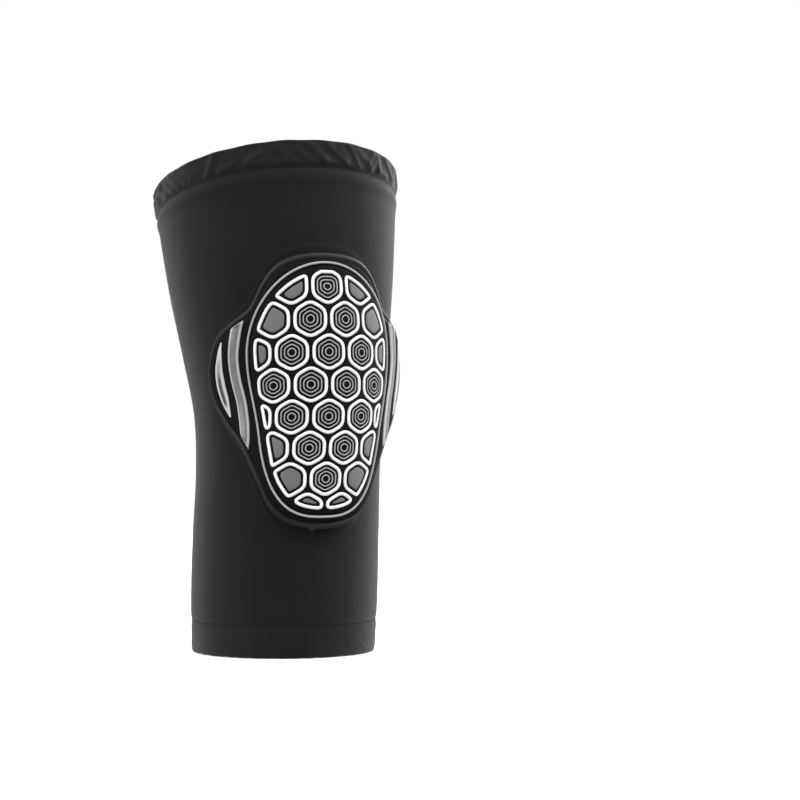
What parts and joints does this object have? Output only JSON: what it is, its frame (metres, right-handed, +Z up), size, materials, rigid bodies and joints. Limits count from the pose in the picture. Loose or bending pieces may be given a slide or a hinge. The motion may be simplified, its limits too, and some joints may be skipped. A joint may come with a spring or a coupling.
{
  "type": "basketball knee pad",
  "caption": "Black compression knee sleeve with gathered hems and a thick moulded pad over the kneecap, its egg-shaped cap outlined and covered in raised white cells, with a wing on each side.",
  "frame": {"origin": "on the leg's axis at knee height, level with the middle of the pad", "axes": "+Z up the leg towards the thigh, -Y out of the pad's face, +X to the right as seen from in front of the pad"},
  "size_m": [0.1502, 0.1658, 0.2977],
  "materials": {
    "knit": "matt stretch knit with a soft sheen at its edges",
    "hem": "gathered elastic hem",
    "foam": "matt moulded foam skin",
    "line": "raised pale grey line",
    "band": "raised grey rib",
    "print": "raised white line"
  },
  "bodies": {
    "root": {"sleeve": "knit", "calf_band": "hem", "thigh_band": "hem", "pad_base": "foam", "pad_dome": "foam", "dome_edging": "line", "wing_band_left": "band", "wing_band_right": "band", "wing_crescent_left": "print", "wing_crescent_right": "print", "cell_1_2": "print", "cell_1_3": "print", "cell_2_2": "print", "cell_2_3": "print", "cell_2_4": "print", "cell_3_1": "print", "cell_3_2": "print", "cell_3_3": "print", "cell_3_4": "print", "cell_4_1": "print", "cell_4_2": "print", "cell_4_3": "print", "cell_4_4": "print", "cell_4_5": "print", "cell_5_1": "print", "cell_5_2": "print", "cell_5_3": "print", "cell_5_4": "print", "cell_6_1": "print", "cell_6_2": "print", "cell_6_3": "print", "cell_6_4": "print", "cell_6_5": "print", "cell_7_1": "print", "cell_7_2": "print", "cell_7_3": "print", "cell_7_4": "print", "cell_8_2": "print", "cell_8_3": "print", "cell_8_4": "print"}
  },
  "joints": []
}
